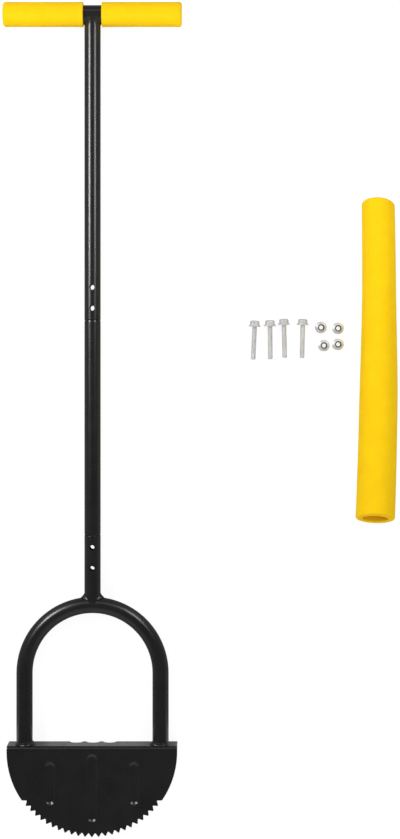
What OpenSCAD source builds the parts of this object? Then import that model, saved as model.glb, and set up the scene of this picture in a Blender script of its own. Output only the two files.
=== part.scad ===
// Half moon edger, laid out flat: the tool lies on its back with its shaft plugged together,
// and its cross bolts, lock nuts and spare foam sleeve lie beside it.
// X runs across the tool, Y from the tip of the blade to the handle, Z up from the floor.

/* [Blade] */
// Diameter of the half moon, which is also the blade's width
blade_d = 203.2; // [170:0.1:230]
// Straight side of the blade above the half moon
blade_shoulder = 6.4; // [5:0.1:12]
// Thickness of the pressed plate
plate_t = 2; // [1.5:0.1:2.6]
// Outside radius of the bend between blade and tread
bend_r = 4; // [3.2:0.1:5]
// Depth of the tread, from the blade's face to its back edge
tread_depth = 30; // [27:0.5:40]
// Number of notches between the teeth
notch_count = 24; // [16:2:30]
// Angle of the rim that carries teeth
toothed_angle = 110.9; // [90:0.1:120]
// Depth of a notch
notch_depth = 4.5; // [3:0.1:6]
// Width of a notch at its bottom
notch_floor = 0.9; // [0.5:0.1:1.5]
// Flat left on the point of a tooth
tooth_flat = 0.6; // [0.3:0.1:1]
// Width of a pressed groove
groove_w = 15; // [9:0.5:17]
// Depth of a pressed groove
groove_depth = 2.2; // [1.2:0.1:2.6]
// Distance between the centres of the grooves
groove_pitch = 50; // [42:0.5:54]
// Length of the middle groove
middle_groove_l = 82; // [60:1:84]
// Length of the side grooves
side_groove_l = 52; // [36:1:54]
// Distance from the tread to the middle groove
middle_groove_drop = 8.3; // [8:0.1:14]
// Distance from the tread to the side grooves
side_groove_drop = 17.8; // [10:0.1:22]
// Distance between the scallops in the tread's back edge
scallop_pitch = 20; // [17:0.5:24]
// Width of a scallop
scallop_w = 16; // [10:0.5:16]
// Depth of a scallop
scallop_depth = 7; // [3:0.5:8]

/* [Frame] */
// Outside diameter of the tubes of the bow and the shaft
tube_d = 19.4; // [17:0.1:22]
// Wall of those tubes
tube_wall = 1.2; // [1:0.1:1.6]
// Radius of the bow at the middle of its tube
bow_r = 81.5; // [70:0.5:84]
// Straight length of a leg of the bow
leg_l = 85; // [60:1:120]
// Neck tube above the bow, up to the lower joint
neck_l = 73.8; // [70:0.1:110]
// Throat of the weld round the neck
neck_weld = 3; // [2:0.1:4]
// Foot of the welds round the legs
leg_weld = 2.6; // [2:0.1:3]

/* [Shaft] */
// Middle tube that shows between its two joints
middle_l = 258; // [180:1:320]
// Upper tube from its joint to the middle of the handle bar
upper_l = 366; // [220:1:420]
// Reduced end that plugs into the next tube
spigot_l = 52; // [48:1:58]
// Gap all round between a reduced end and the tube it plugs into
spigot_gap = 0.1; // [0.05:0.01:0.1]
// Length of the cone from the full tube to the reduced end
cone_l = 2; // [1:0.1:4]
// Diameter of the holes for the cross bolts
hole_d = 6.5; // [6.2:0.1:7]
// Distance from the tube's end to its first hole
hole_edge = 14; // [9:0.5:16]
// Distance between the two holes of a joint
hole_pitch = 25; // [16:0.5:28]

/* [Handle] */
// Outside diameter of the handle bar
bar_d = 22; // [20:0.1:24]
// Wall of the handle bar
bar_wall = 1.5; // [1:0.1:2]
// Outside diameter of a foam grip
grip_d = 30; // [27:0.5:36]
// Length of a foam grip
grip_l = 96; // [70:1:130]
// Gap between the grips
grip_gap = 22; // [22:0.5:40]
// Closed end of a grip
grip_end = 4; // [3:0.5:8]
// Rounding of a grip's outer end
grip_round = 2.6; // [1:0.1:3]
// Throat of the weld between shaft and bar
handle_weld = 2; // [1.2:0.1:2.4]

/* [Bolts and nuts] */
// Diameter of a bolt over its thread
bolt_d = 6; // [5:0.1:6.4]
// Length of a bolt under its head
bolt_l = 40; // [30:1:60]
// Height of a bolt's head with its flange
bolt_head_h = 6.6; // [5.5:0.1:8]
// Chamfer on a bolt's tip
bolt_chamfer = 0.8; // [0.4:0.1:1.2]
// Width across the flats of bolts and nuts
hex_flats = 10; // [9.4:0.1:10.4]
// Diameter of the flanges of bolts and nuts
flange_d = 14.2; // [13.4:0.1:16]
// Edge of a flange
flange_t = 1.2; // [0.8:0.1:1.6]
// Height of the slope from a flange up to its hexagon
flange_slope = 1; // [0.6:0.1:1.4]
// Height of a nut
nut_h = 8; // [7.6:0.1:10]
// Height of a nut's hexagon, flange included
nut_hex_h = 5.4; // [4.6:0.1:5.8]
// Diameter of the round collar on a nut
nut_collar_d = 9.2; // [8.8:0.1:9.6]
// Hole through a nut's thread
nut_bore_d = 5; // [4.6:0.1:5.2]
// Outside diameter of the nylon ring in a nut
ring_d = 7.6; // [7:0.1:8]
// Hole in the nylon ring
ring_bore_d = 5.5; // [5.3:0.1:5.8]
// Thickness of the nylon ring
ring_t = 1.5; // [1:0.1:1.8]
// Hole in the rolled lip that holds the ring
lip_bore_d = 6.6; // [6.3:0.1:6.8]

/* [Foam sleeve] */
// Length of the spare sleeve over its two slanted ends
sleeve_l = 388.5; // [240:0.5:440]
// Outside diameter at its far end
sleeve_far_d = 40.5; // [34:0.5:46]
// Outside diameter at its near end
sleeve_near_d = 47; // [46:0.5:54]
// Bore of the sleeve
sleeve_bore_d = 30; // [19:0.5:32]
// Slant of the cuts at its two ends, in degrees
sleeve_slant = 18; // [0:1:24]

/* [Places on the floor] */
// Distance across from the tool's middle line to the first bolt
bolt_offset = 194.4; // [170:0.1:210]
// Distance between the bolts
bolt_pitch = 19.3; // [17:0.1:22]
// Distance along from the blade's tip to the bolts' flanges
bolt_along = 609.5; // [300:0.5:700]
// Distance across from the tool's middle line to the first nut
nut_offset = 274.6; // [270:0.1:280]
// Distance between the nuts
nut_pitch = 20.5; // [17:0.1:22]
// Distance along from the blade's tip to the upper row of nuts
nut_along = 605; // [300:0.5:700]
// Distance across from the tool's middle line to the sleeve
sleeve_offset = 341; // [338:0.5:380]
// Distance along from the blade's tip to the middle of the sleeve
sleeve_along = 566.5; // [300:0.5:700]

/* [Hidden] */
$fn = 64;

// How far a cut runs past the solid that it cuts
overrun = 1;
// Gap between a welded or fitted piece and its seat
seat_gap = 0.05;
// Rounding of a grip's inner end
grip_inner_round = 1.2;

// Small departures of the loose pieces from their even rows, as shares of the pitch
bolt_across_shares = [0, -0.04, -0.17, 0];
bolt_along_shares = [-0.06, -0.03, 0.05, 0.04];
nut_across_shares = [0, 0, 0.17, 0];
nut_along_shares = [0.1, 0.05, 0.04, 0.11];
// Angles of the loose pieces on the floor
bolt_leans = [-2.4, 0.8, 1.6, -0.9];
nut_turns = [12, 24, 5, 16];

black = [0.13, 0.13, 0.13];
foam_yellow = [0.98, 0.82, 0.1];
zinc = [0.72, 0.72, 0.74];
nylon = [0.16, 0.17, 0.2];

tube_r = tube_d / 2;
blade_r = blade_d / 2;
blade_h = blade_r + blade_shoulder;
bar_r = bar_d / 2;
grip_r = grip_d / 2;
flange_r = flange_d / 2;
handle_w = 2 * grip_l + grip_gap;

// Places along the tool, from the tip of the blade
arch_y = blade_h + leg_l;
crown_y = arch_y + bow_r;
lower_joint_y = crown_y + tube_r + neck_l;
upper_joint_y = lower_joint_y + middle_l;
bar_y = upper_joint_y + upper_l;
overall_l = bar_y + grip_r;

// Places on the floor
axis_z = max(tread_depth, grip_d) / 2;
overall_w = handle_w / 2 + sleeve_offset + sleeve_near_d / 2;
tool_x = (handle_w - overall_w) / 2;

// Frame of the tool: its middle line is the Y axis, with the blade's tip at zero
module on_tool() {
  translate([tool_x, -overall_l / 2, axis_z]) children();
}

// Frame of a loose piece: a point on the floor, measured from the blade's tip
module on_floor(across, along) {
  translate([tool_x + across, along - overall_l / 2, 0]) children();
}

// Round bar along Y, from one place to another
module bar_along(r, from, to) {
  translate([0, from, 0]) rotate([-90, 0, 0]) cylinder(r = r, h = to - from);
}

// Round bar across the tool at a height along it
module bar_across(r, length, along) {
  translate([-length / 2, along, 0]) rotate([0, 90, 0]) cylinder(r = r, h = length);
}

// The two cross holes of a joint, a distance back from the end of its outer tube
module joint_holes(end_y, away) {
  for (i = [0, 1])
    translate([0, end_y + away * (hole_edge + i * hole_pitch), -tube_d])
      cylinder(d = hole_d, h = 2 * tube_d);
}

// Radius of a circle that cuts a given width at a given depth
function cut_radius(width, depth) = (width * width / 4 + depth * depth) / (2 * depth);

face_z = tread_depth / 2;
notch_pitch_angle = toothed_angle / notch_count;
notch_w = blade_r * notch_pitch_angle * PI / 180 - tooth_flat;
groove_r = cut_radius(groove_w, groove_depth);
scallop_r = cut_radius(scallop_w, scallop_depth);
// Each groove: place across, length, distance from the tread
grooves = [
  [-groove_pitch, side_groove_l, side_groove_drop],
  [0, middle_groove_l, middle_groove_drop],
  [groove_pitch, side_groove_l, side_groove_drop]
];

// One notch, with its mouth on the rim and its floor towards the blade's middle
module notch() {
  widening = (notch_w - notch_floor) / notch_depth;
  mouth = notch_w + widening * overrun;
  polygon([
    [-mouth / 2, -overrun],
    [mouth / 2, -overrun],
    [notch_floor / 2, notch_depth],
    [-notch_floor / 2, notch_depth]
  ]);
}

// Front outline of the blade: a half moon with straight shoulders and a toothed rim
module blade_outline() {
  difference() {
    union() {
      translate([0, blade_r]) circle(d = blade_d, $fn = 180);
      translate([-blade_r, blade_r]) square([blade_d, blade_shoulder]);
    }
    for (i = [0 : notch_count - 1])
      translate([0, blade_r])
        rotate((i - (notch_count - 1) / 2) * notch_pitch_angle)
          translate([0, -blade_r]) notch();
  }
}

// Section of the pressed plate: depth behind the face, then height
module plate_section() {
  square([plate_t, blade_h - bend_r]);
  translate([bend_r, blade_h - plate_t]) square([tread_depth - bend_r, plate_t]);
  translate([bend_r, blade_h - bend_r])
    intersection() {
      difference() {
        circle(r = bend_r);
        circle(r = bend_r - plate_t);
      }
      translate([-bend_r, 0]) square(bend_r);
    }
}

// Round bar with ball ends whose lowest stretch presses one groove
module groove_form(groove, r) {
  top_y = blade_h - groove[2] - groove_w / 2;
  low_y = blade_h - groove[2] - groove[1] + groove_w / 2;
  translate([groove[0], 0, face_z + groove_r - groove_depth]) {
    bar_along(r, low_y, top_y);
    translate([0, low_y, 0]) sphere(r = r);
    translate([0, top_y, 0]) sphere(r = r);
  }
}

module blade() {
  color(black) on_tool() difference() {
    union() {
      intersection() {
        translate([-blade_r, 0, face_z]) rotate([0, 90, 0]) linear_extrude(blade_d) plate_section();
        translate([0, 0, -face_z]) linear_extrude(tread_depth) blade_outline();
      }
      // The back of each groove stands out behind the plate
      for (groove = grooves)
        intersection() {
          groove_form(groove, groove_r + plate_t);
          translate([-blade_r, 0, -face_z]) cube([blade_d, blade_h - plate_t, tread_depth - plate_t / 2]);
        }
    }
    for (groove = grooves) groove_form(groove, groove_r);
    for (i = [-1 : 1])
      translate([i * scallop_pitch, 0, -face_z - scallop_r + scallop_depth])
        bar_along(scallop_r, blade_h - plate_t - overrun, blade_h + overrun);
  }
}

// The bow's path with a round section of a given radius
module bow_form(r) {
  translate([0, arch_y, 0]) rotate_extrude(angle = 180, $fn = 96) translate([bow_r, 0]) circle(r = r);
  for (side = [-1, 1])
    translate([side * bow_r, 0, 0]) bar_along(r, blade_h, arch_y);
}

module bow() {
  color(black) on_tool() difference() {
    bow_form(tube_r);
    bow_form(tube_r - tube_wall);
  }
}

module neck_tube() {
  color(black) on_tool() difference() {
    bar_along(tube_r, crown_y, lower_joint_y);
    bar_along(tube_r - tube_wall, crown_y - overrun, lower_joint_y + overrun);
    bow_form(tube_r + seat_gap);
    joint_holes(lower_joint_y, -1);
  }
}

// The bead follows the crossing of the two tubes, which lies in two planes at 45 degrees
module neck_weld() {
  reach = tube_d + neck_weld;
  color(black) on_tool() difference() {
    intersection() {
      bar_along(tube_r + neck_weld, crown_y, crown_y + reach);
      bow_form(tube_r + neck_weld);
      translate([0, crown_y, 0]) union() {
        for (lean = [-45, 45])
          rotate(lean) translate([-neck_weld, 0, -reach]) cube([2 * neck_weld, 2 * reach, 2 * reach]);
      }
    }
    bar_along(tube_r + seat_gap, crown_y - overrun, crown_y + reach + overrun);
    bow_form(tube_r + seat_gap);
  }
}

// Bead round the foot of one leg, on the tread
module leg_bead(side) {
  color(black) on_tool() translate([side * bow_r, blade_h, 0]) rotate([-90, 0, 0])
    rotate_extrude()
      polygon([
        [tube_r + seat_gap, 0],
        [tube_r + leg_weld, 0],
        [tube_r + seat_gap, leg_weld]
      ]);
}

module left_leg_weld() {
  leg_bead(-1);
}

module right_leg_weld() {
  leg_bead(1);
}

// Half of the middle tube's wall, as radius and place along it, from the lower end up
module middle_section(inset) {
  narrow = tube_r - tube_wall - spigot_gap - inset;
  wide = tube_r - inset;
  low_y = lower_joint_y;
  high_y = upper_joint_y;
  polygon([
    [0, low_y - spigot_l],
    [narrow, low_y - spigot_l],
    [narrow, low_y],
    [wide, low_y + cone_l],
    [wide, high_y - cone_l],
    [narrow, high_y],
    [narrow, high_y + spigot_l],
    [0, high_y + spigot_l]
  ]);
}

module middle_tube() {
  color(black) on_tool() difference() {
    rotate([-90, 0, 0]) rotate_extrude() difference() {
      middle_section(0);
      middle_section(tube_wall);
    }
    joint_holes(lower_joint_y, -1);
    joint_holes(upper_joint_y, 1);
  }
}

module upper_tube() {
  color(black) on_tool() difference() {
    bar_along(tube_r, upper_joint_y, bar_y);
    bar_along(tube_r - tube_wall, upper_joint_y - overrun, bar_y + overrun);
    bar_across(bar_r + seat_gap, handle_w, bar_y);
    joint_holes(upper_joint_y, 1);
  }
}

module handle_bar() {
  bar_l = handle_w - 2 * grip_end - 2 * seat_gap;
  color(black) on_tool() difference() {
    bar_across(bar_r, bar_l, bar_y);
    bar_across(bar_r - bar_wall, bar_l + 2 * overrun, bar_y);
  }
}

module handle_weld() {
  low_y = bar_y - bar_r - handle_weld;
  color(black) on_tool() difference() {
    intersection() {
      bar_along(tube_r + handle_weld, low_y, bar_y);
      bar_across(bar_r + handle_weld, grip_gap, bar_y);
    }
    bar_along(tube_r + seat_gap, low_y - overrun, bar_y + overrun);
    bar_across(bar_r + seat_gap, handle_w, bar_y);
  }
}

// Half of a grip's foam, as radius and place along the bar, closed at the outer end
module grip_section() {
  shoulder_l = grip_l - grip_round;
  difference() {
    union() {
      square([grip_r - grip_round, grip_l]);
      translate([0, grip_inner_round]) square([grip_r, shoulder_l - grip_inner_round]);
      square([grip_r - grip_inner_round, grip_l / 2]);
      translate([grip_r - grip_round, shoulder_l]) circle(r = grip_round);
      translate([grip_r - grip_inner_round, grip_inner_round]) circle(r = grip_inner_round);
    }
    square([bar_r + seat_gap, grip_l - grip_end]);
  }
}

module grip(side) {
  color(foam_yellow) on_tool() translate([side * grip_gap / 2, bar_y, 0]) rotate([0, side * 90, 0])
    rotate_extrude() grip_section();
}

module left_grip() {
  grip(-1);
}

module right_grip() {
  grip(1);
}

// Hexagon with a flange under it, standing up from the flange's face
module flanged_hexagon(height) {
  cylinder(d = flange_d, h = flange_t);
  translate([0, 0, flange_t]) cylinder(d1 = flange_d, d2 = hex_flats, h = flange_slope);
  cylinder(d = hex_flats / cos(30), h = height, $fn = 6);
}

bolt_rest_l = bolt_l - bolt_chamfer;
bolt_tilt = atan((flange_r - bolt_d / 2) / bolt_rest_l);

// One bolt, resting on the edge of its flange and on its tip
module bolt(i) {
  across = bolt_offset + bolt_pitch * (i + bolt_across_shares[i]);
  along = bolt_along + bolt_pitch * bolt_along_shares[i];
  color(zinc) on_floor(across, along)
    translate([0, 0, flange_r * cos(bolt_tilt)]) rotate([90 + bolt_tilt, 0, bolt_leans[i]]) {
      mirror([0, 0, 1]) intersection() {
        flanged_hexagon(bolt_head_h);
        cylinder(r1 = flange_r + bolt_head_h, r2 = hex_flats / 2, h = bolt_head_h);
      }
      cylinder(d = bolt_d, h = bolt_rest_l);
      translate([0, 0, bolt_rest_l])
        cylinder(d1 = bolt_d, d2 = bolt_d - 2 * bolt_chamfer, h = bolt_chamfer);
    }
}

module bolt_1() {
  bolt(0);
}

module bolt_2() {
  bolt(1);
}

module bolt_3() {
  bolt(2);
}

module bolt_4() {
  bolt(3);
}

ring_low = nut_hex_h + seat_gap;
ring_top = ring_low + ring_t;

// Place of one nut, which stands on its flange
module nut_place(i) {
  across = nut_offset + nut_pitch * (i % 2 + nut_across_shares[i]);
  along = nut_along - nut_pitch * (floor(i / 2) - nut_along_shares[i]);
  on_floor(across, along) rotate(nut_turns[i]) children();
}

module nut(i) {
  color(zinc) nut_place(i) difference() {
    union() {
      flanged_hexagon(nut_hex_h);
      cylinder(d = nut_collar_d, h = nut_h);
    }
    translate([0, 0, -overrun]) cylinder(d = nut_bore_d, h = nut_h + 2 * overrun);
    translate([0, 0, ring_low - seat_gap]) cylinder(d = ring_d + 2 * seat_gap, h = ring_t + 2 * seat_gap);
    translate([0, 0, ring_top]) cylinder(d = lip_bore_d, h = nut_h);
  }
}

module nut_ring(i) {
  color(nylon) nut_place(i) translate([0, 0, ring_low]) difference() {
    cylinder(d = ring_d, h = ring_t);
    translate([0, 0, -overrun]) cylinder(d = ring_bore_d, h = ring_t + 2 * overrun);
  }
}

module nut_1() {
  nut(0);
}

module nut_2() {
  nut(1);
}

module nut_3() {
  nut(2);
}

module nut_4() {
  nut(3);
}

module nut_ring_1() {
  nut_ring(0);
}

module nut_ring_2() {
  nut_ring(1);
}

module nut_ring_3() {
  nut_ring(2);
}

module nut_ring_4() {
  nut_ring(3);
}

sleeve_far_r = sleeve_far_d / 2;
sleeve_near_r = sleeve_near_d / 2;
sleeve_taper = atan((sleeve_near_r - sleeve_far_r) / sleeve_l);

// Tapered body of the sleeve, run on past both slanted cuts
module sleeve_body() {
  grow_r = overrun * tan(sleeve_taper);
  translate([0, 0, -overrun]) cylinder(
    r1 = sleeve_far_r - grow_r,
    r2 = sleeve_near_r + grow_r,
    h = sleeve_l + 2 * overrun
  );
}

// The sleeve lies along its lowest line, with both ends cut aslant in parallel
module grip_sleeve() {
  color(foam_yellow) on_floor(sleeve_offset, sleeve_along + sleeve_l / 2)
    translate([0, 0, sleeve_far_r * cos(sleeve_taper)]) rotate([90 - sleeve_taper, 0, 0]) difference() {
      sleeve_body();
      translate([0, 0, -2 * overrun]) cylinder(d = sleeve_bore_d, h = sleeve_l + 4 * overrun);
      translate([-sleeve_near_d, sleeve_far_r, 0]) rotate([-sleeve_slant, 0, 0])
        translate([0, -2 * sleeve_near_d, -sleeve_near_d])
          cube([2 * sleeve_near_d, 3 * sleeve_near_d, sleeve_near_d]);
      translate([-sleeve_near_d, -sleeve_near_r, sleeve_l]) rotate([-sleeve_slant, 0, 0])
        translate([0, -sleeve_near_r, 0]) cube([2 * sleeve_near_d, 2 * sleeve_near_d, sleeve_near_d]);
    }
}

blade();
bow();
neck_tube();
neck_weld();
left_leg_weld();
right_leg_weld();
middle_tube();
upper_tube();
handle_bar();
handle_weld();
left_grip();
right_grip();
bolt_1();
bolt_2();
bolt_3();
bolt_4();
nut_1();
nut_2();
nut_3();
nut_4();
nut_ring_1();
nut_ring_2();
nut_ring_3();
nut_ring_4();
grip_sleeve();
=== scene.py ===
"""Half moon edger, laid out on a white floor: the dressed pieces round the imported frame.

The tool lies on its back along Y, with the blade at the near end and the handle at the far end.
Four flange bolts, four lock nuts and a spare foam sleeve lie beside it. Every length is in metres.
"""

import math

import bmesh
import bpy
import numpy as np
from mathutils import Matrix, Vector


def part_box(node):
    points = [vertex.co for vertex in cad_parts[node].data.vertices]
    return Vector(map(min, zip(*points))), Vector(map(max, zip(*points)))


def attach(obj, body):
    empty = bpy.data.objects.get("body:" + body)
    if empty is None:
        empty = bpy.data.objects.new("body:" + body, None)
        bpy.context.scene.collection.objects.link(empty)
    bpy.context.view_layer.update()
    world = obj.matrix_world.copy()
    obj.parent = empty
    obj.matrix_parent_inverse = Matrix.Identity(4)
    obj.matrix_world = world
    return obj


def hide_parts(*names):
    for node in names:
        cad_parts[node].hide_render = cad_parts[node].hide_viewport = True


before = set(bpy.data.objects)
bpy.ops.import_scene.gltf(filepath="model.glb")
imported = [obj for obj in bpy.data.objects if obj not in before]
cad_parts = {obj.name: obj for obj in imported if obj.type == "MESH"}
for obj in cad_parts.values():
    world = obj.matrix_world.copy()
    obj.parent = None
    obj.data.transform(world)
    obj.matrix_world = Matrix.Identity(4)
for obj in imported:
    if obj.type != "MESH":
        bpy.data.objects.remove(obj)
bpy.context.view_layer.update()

MM = 0.001


def span(node):
    """Lowest and highest corner of a node of the frame, as two arrays."""
    low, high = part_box(node)
    return np.array(low), np.array(high)


# Sizes and places that the frame gives
neck_low, neck_high = span("neck_tube")
TOOL_X = (neck_low[0] + neck_high[0]) / 2
AXIS_Z = (neck_low[2] + neck_high[2]) / 2
TUBE_R = (neck_high[0] - neck_low[0]) / 2
LOWER_JOINT_Y = neck_high[1]
UPPER_JOINT_Y = span("upper_tube")[0][1]
MIDDLE_LOW_Y = span("middle_tube")[0][1]
MIDDLE_HIGH_Y = span("middle_tube")[1][1]

bow_low, bow_high = span("bow")
TREAD_Y = bow_low[1]
BOW_R = (bow_high[0] - bow_low[0]) / 2 - TUBE_R
CROWN_Y = bow_high[1] - TUBE_R
ARCH_Y = CROWN_Y - BOW_R

blade_low, blade_high = span("blade")
BLADE_R = (blade_high[0] - blade_low[0]) / 2
DISC_Y = blade_low[1] + BLADE_R
FACE_Z = blade_high[2]
TREAD_BACK_Z = blade_low[2]

bar_low, bar_high = span("handle_bar")
BAR_Y = (bar_low[1] + bar_high[1]) / 2
BAR_R = (bar_high[1] - bar_low[1]) / 2
BAR_HALF_L = (bar_high[0] - bar_low[0]) / 2

# Sizes inside the pieces, which no box of the frame gives
PLATE_T = 2 * MM
BEND_R = 4 * MM
TUBE_WALL = 1.2 * MM
BAR_WALL = 1.5 * MM
SEAT_GAP = 0.05 * MM
WELD_DISTANCE = 0.002 * MM

# Edges sharper than the first angle are rounded, and past a crease, in degrees, they look sharp
EDGE_ANGLE = math.radians(60)
EDGE_SEGMENTS = 2
CREASE = 35
BLADE_CREASE = 50
BEAD_CREASE = 80
FOAM_CREASE = 60
ZINC_CREASE = 32


# Grids and meshes


def grid_faces(rows, columns, wrap=False, loop=False):
    """Four-sided faces of a grid. Wrap joins its last column to the first, and loop its last row."""
    row, column = np.meshgrid(
        np.arange(rows if loop else rows - 1),
        np.arange(columns if wrap else columns - 1),
        indexing="ij",
    )
    next_row = (row + 1) % rows
    next_column = (column + 1) % columns
    corners = [
        row * columns + column,
        row * columns + next_column,
        next_row * columns + next_column,
        next_row * columns + column,
    ]
    return np.stack(corners, axis=-1).reshape(-1, 4)


def grid_part(points, wrap=False, loop=False):
    """A grid of points with its faces, ready for add_piece."""
    return points, grid_faces(points.shape[0], points.shape[1], wrap, loop)


def ring_angles(steps):
    """Even angles, once round a circle."""
    return np.arange(steps) * 2 * np.pi / steps


def unit(vectors):
    """Vectors brought to length 1."""
    return vectors / np.linalg.norm(vectors, axis=-1, keepdims=True)


def smooth_step(value):
    """Rises from 0 to 1 with level ends, as 3 v squared less 2 v cubed."""
    held = np.clip(value, 0, 1)
    return held * held * (3 - 2 * held)


def make_mesh(name, parts, outward):
    """Puts grids into one mesh, welds their seams and poles and turns the faces outwards if asked."""
    sizes = np.cumsum([0] + [points.reshape(-1, 3).shape[0] for points, _ in parts])
    points = np.concatenate([points.reshape(-1, 3) for points, _ in parts])
    faces = np.concatenate([faces + start for (_, faces), start in zip(parts, sizes)])
    mesh = bpy.data.meshes.new(name)
    mesh.vertices.add(len(points))
    mesh.vertices.foreach_set("co", points.astype(np.float32).ravel())
    mesh.loops.add(faces.size)
    mesh.loops.foreach_set("vertex_index", faces.astype(np.int32).ravel())
    mesh.polygons.add(len(faces))
    mesh.polygons.foreach_set("loop_start", np.arange(0, faces.size, 4, dtype=np.int32))
    mesh.update(calc_edges=True)
    shape = bmesh.new()
    shape.from_mesh(mesh)
    bmesh.ops.remove_doubles(shape, verts=shape.verts, dist=WELD_DISTANCE)
    if outward:
        bmesh.ops.recalc_face_normals(shape, faces=shape.faces)
    shape.to_mesh(mesh)
    shape.free()
    return mesh


def add_piece(node, parts, slot, body, wall=0, edge=0, crease=CREASE, outward=True):
    """One finished piece in place of a node: its mesh, an inner wall and softened edges if wanted, the
    finish of its slot, and the body that it rides on."""
    name = "dressed_" + node
    piece = bpy.data.objects.new(name, make_mesh(name, parts, outward))
    bpy.context.scene.collection.objects.link(piece)
    if wall:
        thickness = piece.modifiers.new("wall", "SOLIDIFY")
        thickness.thickness = wall
        thickness.offset = -1
        thickness.use_even_offset = True
    if edge:
        rounding = piece.modifiers.new("edge", "BEVEL")
        rounding.width = edge
        rounding.segments = EDGE_SEGMENTS
        rounding.limit_method = "ANGLE"
        rounding.angle_limit = EDGE_ANGLE
        rounding.use_clamp_overlap = False
    if wall or edge:
        settled = bpy.data.meshes.new_from_object(
            piece.evaluated_get(bpy.context.evaluated_depsgraph_get())
        )
        piece.modifiers.clear()
        piece.data = settled
        settled.name = name
    piece.data.shade_smooth()
    piece.data.set_sharp_from_angle(angle=math.radians(crease))
    piece.data.materials.clear()
    piece.data.materials.append(finishes[slot])
    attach(piece, body)
    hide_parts(node)
    return piece


def turned(radius, height, origin, basis, steps, loop=False):
    """Surface of revolution: radius and height are arrays of rows, or of rows by steps, and the rows of
    basis are the directions across, across and along the axis."""
    angle = ring_angles(steps)
    radius = np.broadcast_to(np.reshape(radius, (len(radius), -1)), (len(radius), steps))
    height = np.broadcast_to(np.reshape(height, (len(height), -1)), (len(height), steps))
    local = np.stack([radius * np.cos(angle), radius * np.sin(angle), height], axis=-1)
    return grid_part(origin + local @ np.asarray(basis), wrap=True, loop=loop)


# Shared effects


def grey(level):
    """A neutral colour."""
    return (level, level, level, 1)


def add_node(tree, kind, inputs=None, **settings):
    """A node with its settings, and with each given input, by name or number, linked or set."""
    node = tree.nodes.new(kind)
    for name, value in settings.items():
        setattr(node, name, value)
    for key, value in (inputs or {}).items():
        if isinstance(value, bpy.types.NodeSocket):
            tree.links.new(value, node.inputs[key])
        else:
            node.inputs[key].default_value = value
    return node


def spread_value(tree, value, low, high, start=0.0, stop=1.0):
    """A value between low and high, as the given one passes from start to stop."""
    node = add_node(tree, "ShaderNodeMapRange", {
        "Value": value,
        "From Min": start,
        "From Max": stop,
        "To Min": low,
        "To Max": high,
    })
    return node.outputs["Result"]


def make_grain_group():
    """Tone is a cloudy value over broad patches, and Height a fine unevenness of the surface."""
    group = bpy.data.node_groups.new("surface_grain", "ShaderNodeTree")
    sockets = (
        ("Place", "INPUT", "NodeSocketVector"),
        ("Patch Scale", "INPUT", "NodeSocketFloat"),
        ("Grain Scale", "INPUT", "NodeSocketFloat"),
        ("Tone", "OUTPUT", "NodeSocketFloat"),
        ("Height", "OUTPUT", "NodeSocketFloat"),
    )
    for name, way, kind in sockets:
        group.interface.new_socket(name=name, in_out=way, socket_type=kind)
    given = group.nodes.new("NodeGroupInput").outputs
    result = group.nodes.new("NodeGroupOutput").inputs
    patches = add_node(group, "ShaderNodeTexNoise", {
        "Vector": given["Place"],
        "Scale": given["Patch Scale"],
        "Detail": 3,
        "Roughness": 0.55,
    })
    grain = add_node(group, "ShaderNodeTexNoise", {
        "Vector": given["Place"],
        "Scale": given["Grain Scale"],
        "Detail": 2,
        "Roughness": 0.45,
    })
    tone = spread_value(group, patches.outputs["Fac"], 0, 1, start=0.3, stop=0.7)
    group.links.new(tone, result["Tone"])
    group.links.new(grain.outputs["Fac"], result["Height"])
    return group


grain_group = make_grain_group()
# Materials by slot, and the floor's
finishes = {}


def start_material(name):
    """Tree of a new finish, its Principled shader and its place on the piece."""
    material = bpy.data.materials.new(name)
    material.use_nodes = True
    finishes[name] = material
    tree = material.node_tree
    shader = tree.nodes["Principled BSDF"]
    place = add_node(tree, "ShaderNodeTexCoord").outputs["Object"]
    return tree, shader, place


def add_grain(tree, place, patch_scale, grain_scale):
    """The shared grain, placed in one material with its own values."""
    inputs = {"Place": place, "Patch Scale": patch_scale, "Grain Scale": grain_scale}
    node = add_node(tree, "ShaderNodeGroup", inputs, node_tree=grain_group)
    return node.outputs["Tone"], node.outputs["Height"]


def mix_colours(tree, factor, first, second, blend="MIX"):
    """Colour that passes from the first to the second as the factor rises."""
    # The node's inputs 6 and 7 take colours, and its output 2 gives the mixed one
    inputs = {0: factor, 6: first, 7: second}
    return add_node(tree, "ShaderNodeMix", inputs, data_type="RGBA", blend_type=blend).outputs[2]


def combine(tree, operation, *values):
    """Result of an arithmetic operation on values."""
    return add_node(tree, "ShaderNodeMath", dict(enumerate(values)), operation=operation).outputs[0]


def add_ramp(tree, value, stops, interpolation="LINEAR"):
    """Grey that follows a value through stops, each of them a value and its level."""
    node = add_node(tree, "ShaderNodeValToRGB", {"Fac": value})
    node.color_ramp.interpolation = interpolation
    elements = node.color_ramp.elements
    for element, (place, level) in zip(elements, (stops[0], stops[-1])):
        element.position = place
        element.color = grey(level)
    for place, level in stops[1:-1]:
        elements.new(place).color = grey(level)
    return node.outputs["Color"]


def add_bump(tree, shader, height, strength, depth):
    """Unevenness of the given depth on the shader's normal."""
    bump = add_node(tree, "ShaderNodeBump", {"Height": height, "Strength": strength, "Distance": depth})
    tree.links.new(bump.outputs["Normal"], shader.inputs["Normal"])


# Finishes

# Name of the sleeve's attribute that holds the painted shade inside its bore
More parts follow.
